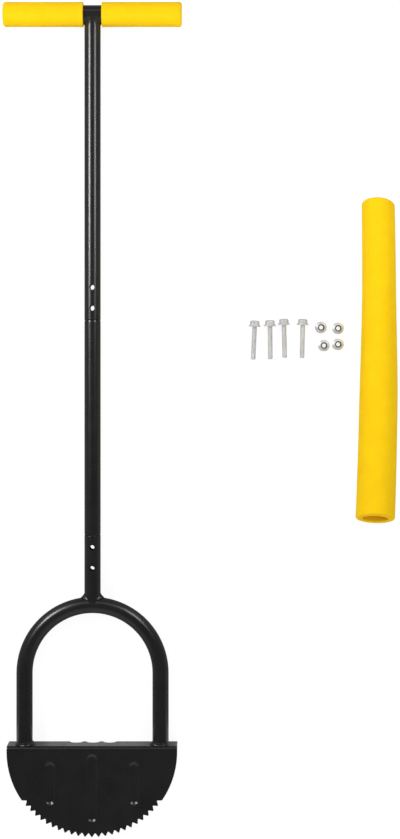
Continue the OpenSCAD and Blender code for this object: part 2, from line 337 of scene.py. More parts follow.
BORE_SHADE_ATTRIBUTE = "inside"
FOAM_SCALES = (60, 1500)
FOAM_COLOURS = ((0.955, 0.59, 0.0035, 1), (0.985, 0.635, 0.0055, 1))
FOAM_ROUGHNESS = (0.8, 0.92)
FOAM_SPECULAR = 0.12
FOAM_BUMP = (0.35, 0.15 * MM)
PORE_SCALE = 1300
PORE_RANGE = (0.1, 0.42)
# A darker orange painted in the foam's pores as shade
PORE_SHADE_COLOUR = (0.885, 0.51, 0.003, 1)
GRAIN_SHARE = 0.5
# Deeper orange painted on the bore's wall as shade
BORE_SHADE_COLOUR = (0.92, 0.43, 0.001, 1)
GLOSSY_SHARE = 0.06
FLOOR_SCALES = (3, 40)
FLOOR_COLOURS = (grey(0.158), grey(0.162))
FLOOR_GLOW = 0.9
BOARD_COLOUR = grey(0.8)
# In reflections the board is darker, and towards the tread it is as bright as the board again, a painted
# reflection on the tread's top
MIRRORED_COLOUR = grey(0.21)
TREAD_REFLECTION_RANGE = (TREAD_Y + 20 * MM, TREAD_Y + 9 * MM)


def make_finish(name, scales, colours, roughness, bump, metallic=0, specular=0.5):
    """A finish with the shared grain, at two scales. Over its patches the finish passes between two
    colours and two roughnesses, and the fine grain is a bump with a strength and a depth."""
    tree, shader, place = start_material(name)
    tone, height = add_grain(tree, place, *scales)
    tree.links.new(mix_colours(tree, tone, *colours), shader.inputs["Base Color"])
    tree.links.new(spread_value(tree, tone, *roughness), shader.inputs["Roughness"])
    shader.inputs["Metallic"].default_value = metallic
    shader.inputs["Specular IOR Level"].default_value = specular
    add_bump(tree, shader, height, *bump)


def make_yellow_foam():
    """Matt closed-cell foam: open pores painted darker as shade on a skin of fine cells, a cloudy tone,
    and painted shade, a deeper colour, on the wall inside a bore."""
    tree, shader, place = start_material("yellow_foam")
    tone, height = add_grain(tree, place, *FOAM_SCALES)
    # Pores are painted darker as shade, and sink in the bump
    cells = add_node(tree, "ShaderNodeTexVoronoi", {"Vector": place, "Scale": PORE_SCALE})
    pores = spread_value(tree, cells.outputs["Distance"], 0, 1, *PORE_RANGE)
    skin = mix_colours(tree, pores, PORE_SHADE_COLOUR, mix_colours(tree, tone, *FOAM_COLOURS))
    # The bore's wall takes painted shade, a deeper colour, by the sleeve's attribute
    inside = add_node(tree, "ShaderNodeAttribute", attribute_name=BORE_SHADE_ATTRIBUTE).outputs["Fac"]
    tree.links.new(mix_colours(tree, inside, skin, BORE_SHADE_COLOUR), shader.inputs["Base Color"])
    tree.links.new(spread_value(tree, tone, *FOAM_ROUGHNESS), shader.inputs["Roughness"])
    shader.inputs["Specular IOR Level"].default_value = FOAM_SPECULAR
    add_bump(tree, shader, combine(tree, "MULTIPLY_ADD", height, GRAIN_SHARE, pores), *FOAM_BUMP)


def show_white(tree, plain, white, output):
    """Shows the white shader to the camera and through clear pieces, a share of it in reflections, where
    the light that really falls on the background counts as well, and else the plain shader."""
    path = add_node(tree, "ShaderNodeLightPath").outputs
    seen = combine(tree, "MULTIPLY", path["Is Glossy Ray"], GLOSSY_SHARE)
    seen = combine(tree, "MAXIMUM", seen, path["Is Camera Ray"])
    seen = combine(tree, "MAXIMUM", seen, path["Is Transmission Ray"])
    choice = add_node(tree, "ShaderNodeMixShader", {0: seen, 1: plain.outputs[0], 2: white.outputs[0]})
    tree.links.new(choice.outputs[0], tree.nodes[output].inputs["Surface"])


def make_white_floor():
    """White floor: what the camera and reflections see is near white and keeps a faint shadow, and the
    light that it throws back is that of a matt white board."""
    tree, shader, place = start_material("white_floor")
    tone, _ = add_grain(tree, place, *FLOOR_SCALES)
    tree.links.new(mix_colours(tree, tone, *FLOOR_COLOURS), shader.inputs["Base Color"])
    shader.inputs["Roughness"].default_value = 1
    shader.inputs["Specular IOR Level"].default_value = 0
    shader.inputs["Emission Color"].default_value = grey(1)
    shader.inputs["Emission Strength"].default_value = FLOOR_GLOW
    mirrored = add_node(tree, "ShaderNodeLightPath").outputs["Is Glossy Ray"]
    parted = add_node(tree, "ShaderNodeSeparateXYZ", {"Vector": place})
    # Near the tread the floor is brighter in reflections only: a painted reflection on the tread's top
    tread_reflection = spread_value(tree, parted.outputs["Y"], 0, 1, *TREAD_REFLECTION_RANGE)
    dull = mix_colours(tree, tread_reflection, MIRRORED_COLOUR, BOARD_COLOUR)
    board_colour = mix_colours(tree, mirrored, BOARD_COLOUR, dull)
    board = add_node(tree, "ShaderNodeBsdfDiffuse", {"Color": board_colour})
    show_white(tree, board, shader, "Material Output")


# Satin black powder coat: orange peel about a millimetre across, with slow changes of tone and gloss
make_finish(
    "black_coat",
    scales=(45, 700),
    colours=((0.0065, 0.0065, 0.007, 1), (0.0095, 0.0093, 0.009, 1)),
    roughness=(0.26, 0.3),
    bump=(0.03, 0.06 * MM),
    specular=0.75,
)
make_yellow_foam()
# Bright zinc plate: pale metal with cloudy gloss and a fine grain
make_finish(
    "zinc_plate",
    scales=(220, 2600),
    colours=((0.74, 0.74, 0.74, 1), (0.84, 0.835, 0.82, 1)),
    roughness=(0.4, 0.52),
    bump=(0.15, 0.03 * MM),
    metallic=0.55,
)
# Dark nylon with a slightly waxy, uneven skin
make_finish(
    "nylon",
    scales=(300, 3000),
    colours=((0.014, 0.015, 0.019, 1), (0.022, 0.023, 0.028, 1)),
    roughness=(0.42, 0.55),
    bump=(0.1, 0.04 * MM),
)
make_white_floor()


# Blade

NOTCHES = 24
TOOTHED_ANGLE = math.radians(110.9)
NOTCH_DEPTH = 4.5 * MM
NOTCH_FLOOR = 0.9 * MM
TOOTH_FLAT = 0.6 * MM
NOTCH_STEPS = 12
PLAIN_RIM_STEPS = 20
RIM_BAND = 2 * MM
RIM_ROWS = np.array([0.3, 0.65, 1.0])
GROOVE_W = 15 * MM
GROOVE_DEPTH = 2.2 * MM
GROOVE_FLOOR_R = 2.9 * MM
GROOVE_LOW_FLOOR_R = 4.2 * MM
GROOVE_MOUTH_R = 7.5 * MM
# Each groove: place across, length, distance from the tread
GROOVES = (
    (-50 * MM, 52 * MM, 17.8 * MM),
    (0.0, 82 * MM, 8.3 * MM),
    (50 * MM, 52 * MM, 17.8 * MM),
)
SCALLOP_PITCH = 20 * MM
SCALLOP_W = 16 * MM
SCALLOP_DEPTH = 7 * MM
SCALLOPED_HALF = 1.5 * SCALLOP_PITCH
SCALLOP_ROWS = 36
PLATE_ROWS = 80
STRAIGHT_ROWS = 3
BEND_ROWS = 9
TREAD_ROWS = 14
BLADE_EDGE = 0.45 * MM


def rim_angles():
    """Angles along the rim from the left shoulder to the right one, with even steps in every notch."""
    plain = np.linspace(TOOTHED_ANGLE / 2, np.pi / 2, PLAIN_RIM_STEPS + 1)[1:]
    toothed = np.linspace(-TOOTHED_ANGLE / 2, TOOTHED_ANGLE / 2, NOTCHES * NOTCH_STEPS + 1)
    return np.concatenate([-plain[::-1], toothed, plain])


def rim_radius(angle):
    """Distance of the rim from the disc's middle: full on the teeth, and less by the notch's depth where
    the place in the notch is inside its floor, with straight flanks between."""
    pitch = TOOTHED_ANGLE / NOTCHES
    place = np.abs((angle + TOOTHED_ANGLE / 2) / pitch % 1 - 0.5) * pitch * BLADE_R
    mouth = (pitch * BLADE_R - TOOTH_FLAT) / 2
    flank = (mouth - place) / (mouth - NOTCH_FLOOR / 2)
    toothed = np.abs(angle) < TOOTHED_ANGLE / 2
    return BLADE_R - np.where(toothed, NOTCH_DEPTH * np.clip(flank, 0, 1), 0)


def groove_sink(x, y):
    """Depth of the pressed grooves: full near each groove's line, and rising to its mouth, smoothly at
    its sides and far end and as a straight slope at its near end."""
    sink = np.zeros_like(x)
    for across, length, drop in GROOVES:
        high = TREAD_Y - drop - GROOVE_W / 2
        low = TREAD_Y - drop - length + GROOVE_W / 2
        beyond = y - np.clip(y, low, high)
        away = np.hypot(x - TOOL_X - across, beyond)
        steep = np.clip(-beyond / np.maximum(away, WELD_DISTANCE), 0, 1)
        floor_r = GROOVE_FLOOR_R + (GROOVE_LOW_FLOOR_R - GROOVE_FLOOR_R) * steep
        wall = (GROOVE_MOUTH_R - away) / (GROOVE_MOUTH_R - floor_r)
        rise = (1 - steep) * smooth_step(wall) + steep * np.clip(wall, 0, 1)
        sink = np.maximum(sink, GROOVE_DEPTH * rise)
    return sink


def scallop_cut(x):
    """How far the scallops cut into the tread's back edge: half an ellipse each."""
    place = (x - TOOL_X + SCALLOPED_HALF) % SCALLOP_PITCH - SCALLOP_PITCH / 2
    inside = np.abs(x - TOOL_X) < SCALLOPED_HALF
    height = np.sqrt(np.maximum(1 - (2 * place / SCALLOP_W) ** 2, 0))
    return np.where(inside, SCALLOP_DEPTH * height, 0)


def blade_sheet():
    """Front of the plate: a polar grid under the disc's middle, whose outer rows follow the teeth, and
    above it rows that run up the shoulder, round the bend and back along the tread."""
    band_r = BLADE_R - NOTCH_DEPTH - RIM_BAND
    inner = np.concatenate([
        np.linspace(0, SCALLOPED_HALF, SCALLOP_ROWS),
        np.linspace(SCALLOPED_HALF, band_r, PLATE_ROWS)[1:],
    ])
    angle = rim_angles()
    radius = np.concatenate([
        np.repeat(inner[:, None], len(angle), axis=1),
        band_r + RIM_ROWS[:, None] * (rim_radius(angle) - band_r),
    ])
    x = TOOL_X + radius * np.sin(angle)
    y = DISC_Y - radius * np.cos(angle)
    moon = np.stack([x, y, FACE_Z - groove_sink(x, y)], axis=-1)

    side = np.concatenate([inner, band_r + RIM_ROWS * (BLADE_R - band_r)])
    across = TOOL_X + np.concatenate([-side[:0:-1], side])
    bend_y = TREAD_Y - BEND_R
    turn = np.linspace(0, np.pi / 2, BEND_ROWS)
    row_y = np.concatenate([
        np.linspace(DISC_Y, bend_y, STRAIGHT_ROWS + 1)[:-1],
        bend_y + BEND_R * np.sin(turn),
        np.full(TREAD_ROWS, TREAD_Y),
    ])
    back = np.concatenate([
        np.zeros(STRAIGHT_ROWS),
        BEND_R - BEND_R * np.cos(turn),
        np.full(TREAD_ROWS, BEND_R),
    ])
    before = np.zeros(STRAIGHT_ROWS + BEND_ROWS)
    share = np.concatenate([before, np.arange(1, TREAD_ROWS + 1) / TREAD_ROWS])
    depth = FACE_Z - TREAD_BACK_Z - scallop_cut(across) - BEND_R
    z = FACE_Z - back[:, None] - share[:, None] * depth
    upper = np.stack(np.broadcast_arrays(across[None, :], row_y[:, None], z), axis=-1)
    moon_faces = grid_faces(len(radius), len(angle))
    return [(moon, moon_faces[:, ::-1]), grid_part(upper)]


add_piece(
    "blade", blade_sheet(), "black_coat", "head",
    wall=PLATE_T, edge=BLADE_EDGE, crease=BLADE_CREASE, outward=False,
)


# Tubes of the bow, the shaft and the handle

AROUND = 48
PATCH = 4
HOLE_RINGS = 4
ARCH_STEPS = 56
LEG_STEPS = 4
BAR_STEPS = 64
HOLE_R = 3.05 * MM
HOLE_EDGE = 14 * MM
HOLE_PITCH = 25 * MM
LOWER_HOLES = [LOWER_JOINT_Y - HOLE_EDGE, LOWER_JOINT_Y - HOLE_EDGE - HOLE_PITCH]
UPPER_HOLES = [UPPER_JOINT_Y + HOLE_EDGE, UPPER_JOINT_Y + HOLE_EDGE + HOLE_PITCH]
SPIGOT_GAP = 0.1 * MM
SHOULDER_L = 3 * MM
SHOULDER_STEP = 0.7 * MM
SHOULDER_DROP = 0.28 * MM
STEP_ROWS = 6
RUN_OUT_ROWS = 8
SETTLE = 0.8 * MM
TUBE_EDGE = 0.25 * MM
COPE_SHARE = 0.1
# Distance of a tube's nearest whole row from the line of the tube it meets, in radii of that one
SADDLE_ROOM = 1.3


def round_tool(angle, radius, y):
    """Points round the tool's middle line, at an angle from its front and a place along it."""
    angle, radius, y = np.broadcast_arrays(angle, radius, y)
    return np.stack([TOOL_X + radius * np.sin(angle), y, AXIS_Z + radius * np.cos(angle)], axis=-1)


def hole_patch(hole_y, side, radius, step, pitch):
    """Rings round a cross hole, which pass evenly from the edge of a square of the tube to a circle."""
    run = np.arange(-PATCH, PATCH)
    end = np.full(2 * PATCH, PATCH)
    u = np.concatenate([run, end, -run, -end])
    v = np.concatenate([-end, run, end, -run])
    direction = np.arctan2(v, u)
    share = np.linspace(0, 1, HOLE_RINGS + 1)[:, None]
    hole_angle = np.arcsin(HOLE_R * np.cos(direction) / radius)
    angle = side + (1 - share) * hole_angle + share * u * step
    y = hole_y + (1 - share) * HOLE_R * np.sin(direction) + share * v * pitch
    return grid_part(round_tool(angle, radius, y), wrap=True)


def drilled_tube(places, radii, holes, low_end=None, high_end=None):
    """Outside of a tube along the tool: a circle at each row, its radius read from the given places, its
    ends cut to a saddle where one is given, and a round hole through front and back at each hole."""
    step = 2 * np.pi / AROUND
    pitch = TUBE_R * step
    near = pitch * np.arange(-PATCH, PATCH + 1)
    rows = np.unique(np.concatenate([places] + [hole + near for hole in holes]))
    radius = np.interp(rows, places, radii)
    angle = np.arange(AROUND) * step
    y = np.repeat(rows[:, None], AROUND, axis=1)
    if low_end is not None:
        y[0] = low_end(angle)
    if high_end is not None:
        y[-1] = high_end(angle)
    faces = grid_faces(len(rows), AROUND, wrap=True).reshape(len(rows) - 1, AROUND, 4)
    whole = np.ones((len(rows) - 1, AROUND), bool)
    patches = []
    for hole in holes:
        first = np.argmin(np.abs(rows - hole - near[0]))
        for side in (0, AROUND // 2):
            columns = (side + np.arange(-PATCH, PATCH)) % AROUND
            whole[np.ix_(np.arange(first, first + 2 * PATCH), columns)] = False
            patches.append(hole_patch(hole, side * step, radius[first], step, pitch))
    return [(round_tool(angle, radius[:, None], y), faces[whole])] + patches


def crown_saddle(angle):
    """Where the neck's wall ends on the bow: a shallow cope, deepest at the front and back, whose gap
    to the bow the bead fills."""
    across = TUBE_R * np.sin(angle)
    above = TUBE_R * np.sqrt(COPE_SHARE**2 + (1 - COPE_SHARE**2) * np.sin(angle) ** 2)
    return ARCH_Y + np.sqrt((BOW_R + above) ** 2 - across**2) + SEAT_GAP


def bar_saddle(angle):
    """Where the upper tube's wall meets the round handle bar."""
    return BAR_Y - np.sqrt(BAR_R**2 - (TUBE_R * np.cos(angle)) ** 2) - SEAT_GAP


def bow_sheet():
    """Outside of the bow: a circle carried up one leg, round the arch and down the other leg."""
    turn = np.linspace(np.pi, 0, ARCH_STEPS + 1)
    leg_y = np.concatenate([[TREAD_Y], np.linspace(TREAD_Y + SETTLE, ARCH_Y, LEG_STEPS + 1)[:-1]])
    still = np.zeros(len(leg_y))
    bearing = np.concatenate([still + np.pi, turn, still])
    centre_y = np.concatenate([leg_y, ARCH_Y + BOW_R * np.sin(turn), leg_y[::-1]])
    centre_x = TOOL_X + BOW_R * np.cos(bearing)
    angle = ring_angles(AROUND)
    out = TUBE_R * np.sin(angle)
    points = np.stack(np.broadcast_arrays(
        centre_x[:, None] + np.cos(bearing)[:, None] * out,
        centre_y[:, None] + np.sin(bearing)[:, None] * out,
        AXIS_Z + TUBE_R * np.cos(angle),
    ), axis=-1)
    return [grid_part(points, wrap=True)]


def neck_sheet():
    """The neck: from its saddle on the bow to the lower joint, with two cross holes."""
    start = CROWN_Y + SADDLE_ROOM * TUBE_R
    places = np.array([CROWN_Y, start, LOWER_JOINT_Y - SETTLE, LOWER_JOINT_Y])
    return drilled_tube(places, np.full(len(places), TUBE_R), LOWER_HOLES, low_end=crown_saddle)


def shoulder():
    """Distances from a joint and radii over a reduced end's shoulder: a quarter of an ellipse up from the
    reduced end, and a run-out that levels off at the full tube."""
    narrow_r = TUBE_R - TUBE_WALL - SPIGOT_GAP
    steep = np.linspace(0, 1, STEP_ROWS)
    gentle = np.linspace(0, 1, RUN_OUT_ROWS + 1)[1:]
    place = np.concatenate([
        SHOULDER_STEP * steep,
        SHOULDER_STEP + (SHOULDER_L - SHOULDER_STEP) * gentle,
    ])
    step_up = TUBE_R - SHOULDER_DROP - narrow_r
    radius = np.concatenate([
        narrow_r + step_up * np.sqrt(1 - (1 - steep) ** 2),
        TUBE_R - SHOULDER_DROP * (1 - gentle) ** 2,
    ])
    return place, radius


def middle_sheet():
    """The middle tube: full size between its joints, with a shoulder and a reduced end at each."""
    from_joint, rise = shoulder()
    places = np.concatenate([
        [MIDDLE_LOW_Y],
        LOWER_JOINT_Y + from_joint,
        [LOWER_JOINT_Y + SHOULDER_L + SETTLE, UPPER_JOINT_Y - SHOULDER_L - SETTLE],
        UPPER_JOINT_Y - from_joint[::-1],
        [MIDDLE_HIGH_Y],
    ])
    radii = np.concatenate([rise[:1], rise, [TUBE_R, TUBE_R], rise[::-1], rise[:1]])
    return drilled_tube(places, radii, LOWER_HOLES + UPPER_HOLES)


def upper_sheet():
    """The upper tube: from the upper joint to its saddle under the handle bar."""
    stop = BAR_Y - SADDLE_ROOM * BAR_R
    places = np.array([UPPER_JOINT_Y, UPPER_JOINT_Y + SETTLE, stop, BAR_Y])
    return drilled_tube(places, np.full(len(places), TUBE_R), UPPER_HOLES, high_end=bar_saddle)


def handle_bar_part():
    """The handle bar: a ring-shaped section turned round the bar's own line, with softened ends."""
    inner_r = BAR_R - BAR_WALL
    end = BAR_HALF_L - TUBE_EDGE
    end_r = np.array([inner_r, inner_r + TUBE_EDGE, BAR_R - TUBE_EDGE, BAR_R])
    end_h = np.array([end, BAR_HALF_L, BAR_HALF_L, end])
    radius = np.concatenate([end_r, end_r[::-1]])
    height = np.concatenate([-end_h, end_h])
    origin = np.array([TOOL_X, BAR_Y, AXIS_Z])
    return turned(radius, height, origin, [(0, 1, 0), (0, 0, 1), (1, 0, 0)], BAR_STEPS, loop=True)


def add_tube(node, parts, body):
    """One coated tube with its wall."""
    add_piece(node, parts, "black_coat", body, wall=TUBE_WALL, edge=TUBE_EDGE)


add_tube("bow", bow_sheet(), "head")
add_tube("neck_tube", neck_sheet(), "head")
add_tube("middle_tube", middle_sheet(), "middle_section")
add_tube("upper_tube", upper_sheet(), "upper_section")
add_piece("handle_bar", [handle_bar_part()], "black_coat", "upper_section")


# Weld beads

RIPPLE_PITCH = 3.2 * MM
RIPPLE_RISE = 0.06 * MM
RIPPLE_LAG = 0.45
SWELL_LEAN = 1.6
BEAD_STEPS = 320
BEAD_ANGLE = ring_angles(BEAD_STEPS)
# Share of the way over a bead's face, from toe to toe
BEAD_FACE = np.linspace(0, 1, 13)
# Direction out of a tube along the tool, at each step round it
TUBE_OUT = np.stack([np.sin(BEAD_ANGLE), 0 * BEAD_ANGLE, np.cos(BEAD_ANGLE)], axis=-1)
ALONG_TOOL = np.array([0, 1, 0])
BEAD_SINK = 0.7 * MM
TOE_SINK = 0.05 * MM
NECK_COPE = 0.25
NECK_HOLLOW = 0.3
# Where the neck's bead begins to widen, and its lumps, as distances aside in radii of the tube
WIDEN_FROM = 0.2
LUMP_PLACE = 0.7
LUMP_W = 0.17
# Reach on the neck, reach on the bow and crown, each at the front, more at the sides and more at a lump
NECK_SIZES = np.array([(2, 3.4, -1.6), (1.8, 2.9, 3), (0.15, 0, 1)]) * MM
LEG_HOLLOW = 0.25
LEG_SIZE = 2.7 * MM
LEG_LEAN = 0.9 * MM
LEG_WAVE = 0.35 * MM
LEG_WAVES = 4
LEG_RISE = 1.1
LEG_CROWN = 0.2
HANDLE_HOLLOW = 0.5
HANDLE_SIZE = 1.2 * MM
HANDLE_GAIN = 1.1 * MM
HANDLE_CROWN = 0.1 * MM


def bead_part(first, corner, second, out, crown, hollow):
    """Weld bead round a joint. Its face is a curve from a toe on the first surface to a toe on the
    second, which the corner between them pulls in by the share called hollow. The face swells outwards,
    most beyond its middle, by the crown and by a ripple, which lags at the toes so that it shows as a
    row of crescents, and a root inside the two walls closes the ring."""
    share = BEAD_FACE[:, None]
    middle = hollow * corner + (1 - hollow) * (first + second) / 2
    face = (
        (1 - share) ** 2 * first[:, None]
        + 2 * share * (1 - share) * middle[:, None]
        + share**2 * second[:, None]
    )
    gaps = np.linalg.norm(np.roll(corner, -1, axis=0) - corner, axis=1)
    along = np.concatenate([[0], np.cumsum(gaps)[:-1]])[:, None] / gaps.sum()
    ripples = round(gaps.sum() / RIPPLE_PITCH)
    phase = 2 * np.pi * (ripples * along + RIPPLE_LAG * (2 * BEAD_FACE - 1) ** 2)
    leaning = BEAD_FACE**SWELL_LEAN
    swell = 4 * leaning * (1 - leaning) * (crown[:, None] + RIPPLE_RISE * np.sin(phase))
    face = face + swell[..., None] * out[:, None]
    root = np.stack([second, corner, first], axis=1) - BEAD_SINK * out[:, None]
    return grid_part(np.concatenate([face, root], axis=1), wrap=True, loop=True)


def away_from(path, normal):
    """Direction on a surface square to a closed line on it, to the right of the line's run."""
    run = unit(np.roll(path, -1, axis=0) - np.roll(path, 1, axis=0))
    return unit(np.cross(run, normal))


def on_bow(bearing, turn, radius):
    """Points of the arch, by their bearing from the crown and turn round its tube from outside."""
    reach = BOW_R + radius * np.cos(turn)
    return np.stack([
        TOOL_X + reach * np.sin(bearing),
        ARCH_Y + reach * np.cos(bearing),
        AXIS_Z + radius * np.sin(turn),
    ], axis=-1)


def neck_bead():
    """Bead along the crossing of neck and bow: low at the front and back, a lump on either side of
    those, and a hollow fillet in the two corners."""
    aside = np.abs(np.sin(BEAD_ANGLE))
    above = TUBE_R * np.sqrt(NECK_COPE**2 + (1 - NECK_COPE**2) * aside**2)
    turn = np.arcsin(math.sqrt(1 - NECK_COPE**2) * np.cos(BEAD_ANGLE))
    bearing = np.arcsin(TUBE_R * np.sin(BEAD_ANGLE) / (BOW_R + above))
    corner = on_bow(bearing, turn, TUBE_R)
    bow_out = unit(corner - on_bow(bearing, turn, 0.0))
    away = away_from(corner, bow_out)
    wide = smooth_step((aside - WIDEN_FROM) / (1 - WIDEN_FROM))
    lump = np.exp(-((aside - LUMP_PLACE) / LUMP_W) ** 2)
    on_neck, along_bow, crown = NECK_SIZES @ np.stack([np.ones(BEAD_STEPS), wide, lump])
    first = round_tool(BEAD_ANGLE, TUBE_R - TOE_SINK, corner[:, 1] + on_neck)
    east = np.stack([np.cos(bearing), -np.sin(bearing), 0 * bearing], axis=-1)
    step_bearing = along_bow * np.sum(away * east, axis=-1) / (BOW_R + above)
    round_bow = np.cross(east, bow_out)
    step_turn = -along_bow * np.sum(away * round_bow, axis=-1) / TUBE_R
    second = on_bow(bearing + step_bearing, turn + step_turn, TUBE_R - TOE_SINK)
    return bead_part(first, corner, second, unit(TUBE_OUT + bow_out), crown, NECK_HOLLOW)


def leg_bead(side):
    """Bead round one leg's foot, heavier towards the middle of the tread. Its toe follows the tread's
    back, and the bend where it reaches that."""
    foot = np.array([TOOL_X + side * BOW_R, TREAD_Y, AXIS_Z])
    lean = side * LEG_LEAN * np.sin(BEAD_ANGLE)
    size = (LEG_SIZE - lean + LEG_WAVE * np.sin(LEG_WAVES * BEAD_ANGLE))[:, None]
    corner = foot + TUBE_R * TUBE_OUT
    first = foot + (TUBE_R - TOE_SINK) * TUBE_OUT + LEG_RISE * size * ALONG_TOOL
    second = corner + size * TUBE_OUT
    past_bend = np.maximum(second[:, 2] - FACE_Z + BEND_R, 0)
    second[:, 1] -= TOE_SINK + BEND_R - np.sqrt(BEND_R**2 - past_bend**2)
    out = unit(TUBE_OUT + ALONG_TOOL)
    return bead_part(first, corner, second, out, LEG_CROWN * size[:, 0], LEG_HOLLOW)


def handle_bead():
    """Bead along the crossing of the upper tube and the handle bar, fuller at the two sides."""
    corner = round_tool(BEAD_ANGLE, TUBE_R, bar_saddle(BEAD_ANGLE))
    bar_out = unit((corner - np.array([0, BAR_Y, AXIS_Z])) * np.array([0, 1, 1]))
    away = -away_from(corner, bar_out)
    size = HANDLE_SIZE + HANDLE_GAIN * np.sin(BEAD_ANGLE) ** 2
    first = round_tool(BEAD_ANGLE, TUBE_R - TOE_SINK, corner[:, 1] - size)
    turn = np.arctan2(corner[:, 2] - AXIS_Z, BAR_Y - corner[:, 1])
    up_bar = np.stack([0 * turn, np.sin(turn), np.cos(turn)], axis=-1)
    turn = turn + size * np.sum(away * up_bar, axis=-1) / BAR_R
    second = np.stack([
        corner[:, 0] + size * away[:, 0],
        BAR_Y - (BAR_R - TOE_SINK) * np.cos(turn),
        AXIS_Z + (BAR_R - TOE_SINK) * np.sin(turn),
    ], axis=-1)
    crown = np.full(BEAD_STEPS, HANDLE_CROWN)
    return bead_part(first, corner, second, unit(TUBE_OUT + bar_out), crown, HANDLE_HOLLOW)


def add_bead(node, part, body):
    """One coated weld bead."""
    add_piece(node, [part], "black_coat", body, crease=BEAD_CREASE)


add_bead("neck_weld", neck_bead(), "head")
add_bead("left_leg_weld", leg_bead(-1), "head")
add_bead("right_leg_weld", leg_bead(1), "head")
add_bead("handle_weld", handle_bead(), "upper_section")


# Foam grips and spare sleeve

FOAM_STEPS = 96
GRIP_END = 4 * MM
GRIP_ROUND = 3.4 * MM
GRIP_INNER_ROUND = 1.2 * MM
GRIP_ROWS = 60
GRIP_FLARE = 0.25 * MM
FLARE_L = 4 * MM
FLARE_RETURN = 8 * MM
SLEEVE_BORE_R = 15 * MM
BORE_LIP = 0.5 * MM
SLEEVE_ROUND = 3.1 * MM
SLEEVE_LIP = 2.5 * MM
SLEEVE_SHADE = 6 * MM
SLEEVE_ROWS = 70
SHADE_ROWS = 9
BORE_ROWS = 28
SLEEVE_SLANT = math.tan(math.radians(18))
SLEEVE_SKEW = math.tan(math.radians(3))
SLEEVE_FAR_R = 19.7 * MM
SLEEVE_NEAR_R = 23.5 * MM
SLEEVE_FAR_REACH = 1.2 * MM
SLEEVE_NEAR_REACH = 1.4 * MM
SWELL_START = 0.25
SWELL_SHARE = 0.4
# The sleeve's line: its place aside at the far end, its lean to the near end, and its bow
SLEEVE_ASIDE = 0.8 * MM
SLEEVE_LEAN = -3.9 * MM
SLEEVE_BOW = 10.5 * MM


def corner_arc(centre_radius, centre_height, radius, start, stop, steps=7):
    """Points of a quarter round, as arrays of radius and height."""
    angle = np.radians(np.linspace(start, stop, steps))
    return centre_radius + radius * np.cos(angle), centre_height + radius * np.sin(angle)


def grip_part(node, side):
    """A foam grip: from the pole inside its closed end, out along the bore, round the inner end, along
    the skin, which flares a little at both ends, and round the outer end to its pole."""
    low, high = span(node)
    length = high[0] - low[0]
    skin_r = (high[1] - low[1]) / 2
    bore_r = BAR_R + SEAT_GAP
    inner_r, inner_h = corner_arc(skin_r - GRIP_INNER_ROUND, GRIP_INNER_ROUND, GRIP_INNER_ROUND, -90, 0)
    outer_r, outer_h = corner_arc(skin_r - GRIP_ROUND, length - GRIP_ROUND, GRIP_ROUND, 0, 90)
    skin_h = np.linspace(GRIP_INNER_ROUND, length - GRIP_ROUND, GRIP_ROWS)[1:-1]
    settle = 1 - np.exp(-skin_h / FLARE_L)
    skin = skin_r - GRIP_FLARE * settle * smooth_step((length - GRIP_ROUND - skin_h) / FLARE_RETURN)
    radius = np.concatenate([[0, bore_r / 2, bore_r, bore_r], inner_r, skin, outer_r, [skin_r / 2, 0]])
    stop = length - GRIP_END
    height = np.concatenate([[stop, stop, stop, 0], inner_h, skin_h, outer_h, [length, length]])
    origin = np.array([low[0] if side > 0 else high[0], BAR_Y, AXIS_Z])
    basis = [(0, 1, 0), (0, 0, side), (side, 0, 0)]
    return turned(radius, height, origin, basis, FOAM_STEPS)


def sleeve_skin(share):
    """Radius of the sleeve at a share of its length from the far end: half of its growth is even, and
    half is a swell about the middle."""
    growth = (share + smooth_step((share - SWELL_START) / SWELL_SHARE)) / 2
    return SLEEVE_FAR_R + (SLEEVE_NEAR_R - SLEEVE_FAR_R) * growth


